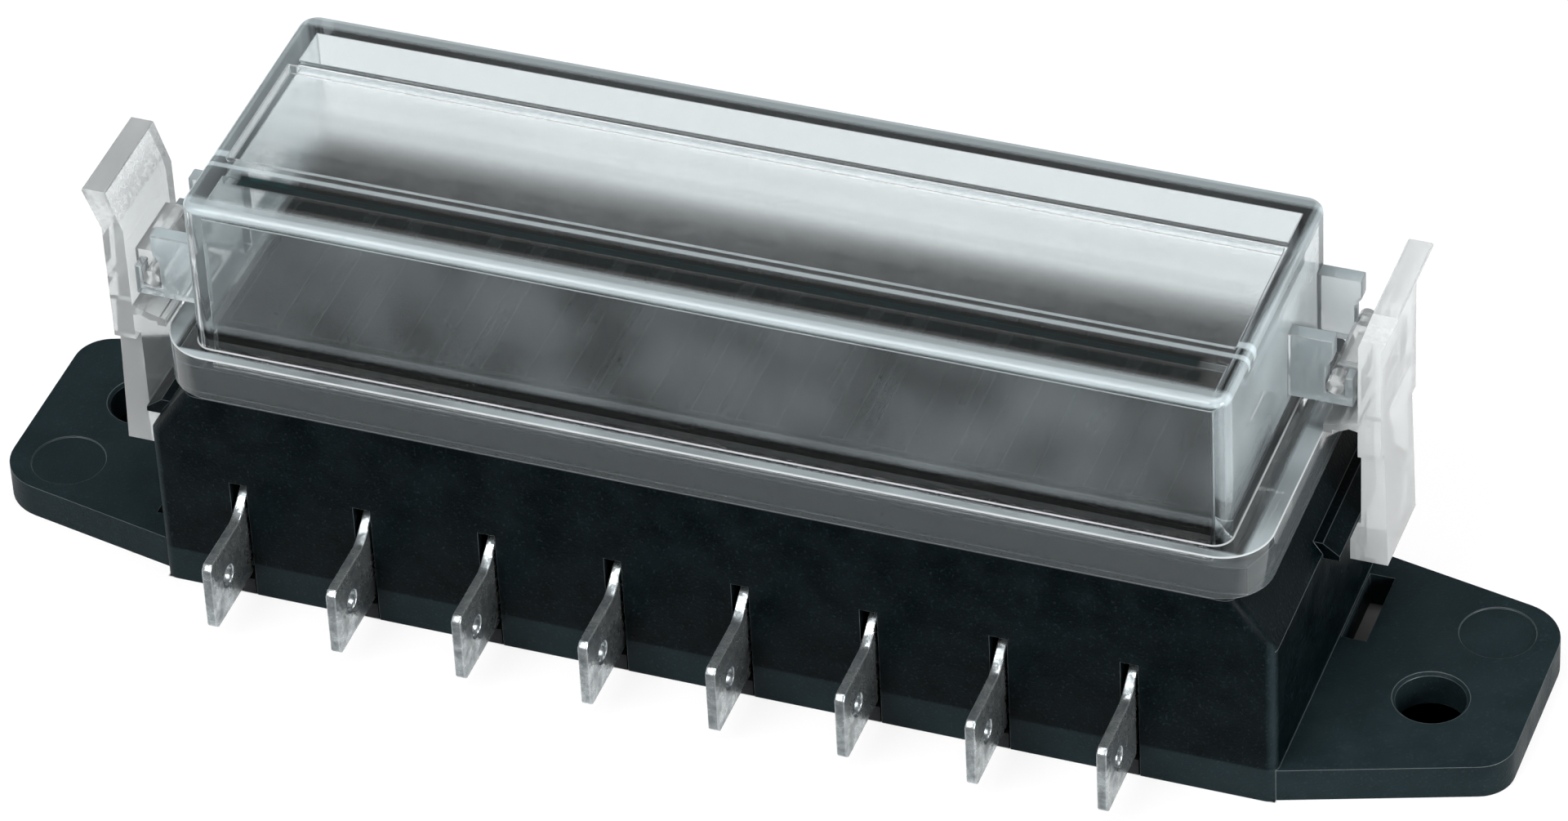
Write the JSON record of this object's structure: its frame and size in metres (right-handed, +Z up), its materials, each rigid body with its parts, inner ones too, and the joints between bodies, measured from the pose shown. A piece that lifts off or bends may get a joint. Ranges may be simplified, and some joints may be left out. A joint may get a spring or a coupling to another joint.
{
  "type": "blade fuse box",
  "caption": "Low black fuse box with two flat mounting ears, spade terminals along both long sides and a clear lift-off cover held by a sprung latch lever at each end.",
  "frame": {"origin": "middle of the footprint, on the face that lies against the panel", "axes": "+X along the row of fuses, +Y across the box to the rear row of terminals, +Z up out of the cover"},
  "size_m": [0.1242, 0.0422, 0.037],
  "materials": {
    "black_housing": "moulded, finely sparked",
    "black_plate": "moulded, plain",
    "clear_cover": "clear, polished mould",
    "clear_latch": "clear, polished mould",
    "tinned_blade": "tin plated, stamped"
  },
  "bodies": {
    "base": {"housing": "black_housing", "bottom_plate": "black_plate", "front_terminal_1": "tinned_blade", "front_terminal_2": "tinned_blade", "front_terminal_3": "tinned_blade", "front_terminal_4": "tinned_blade", "front_terminal_5": "tinned_blade", "front_terminal_6": "tinned_blade", "front_terminal_7": "tinned_blade", "front_terminal_8": "tinned_blade", "rear_terminal_1": "tinned_blade", "rear_terminal_2": "tinned_blade", "rear_terminal_3": "tinned_blade", "rear_terminal_4": "tinned_blade", "rear_terminal_5": "tinned_blade", "rear_terminal_6": "tinned_blade", "rear_terminal_7": "tinned_blade", "rear_terminal_8": "tinned_blade"},
    "lid": {"cover": "clear_cover"},
    "lever_right": {"latch_right": "clear_latch"},
    "lever_left": {"latch_left": "clear_latch"}
  },
  "joints": [
    {"name": "cover_lift", "type": "slide", "parent": "base", "child": "lid", "axis": [0, 0, 1], "range_m": [0, 0.042]},
    {"name": "latch_right_pivot", "type": "hinge", "parent": "lid", "child": "lever_right", "pos_m": [0.0454, 0.00675, 0.0278], "axis": [0, -1, 0], "range_deg": [0, 10], "stiffness_Nm_per_rad": 0.02, "springref_deg": -2.86},
    {"name": "latch_left_pivot", "type": "hinge", "parent": "lid", "child": "lever_left", "pos_m": [-0.0454, -0.00675, 0.0278], "axis": [0, 1, 0], "range_deg": [0, 10], "stiffness_Nm_per_rad": 0.02, "springref_deg": -2.86}
  ]
}
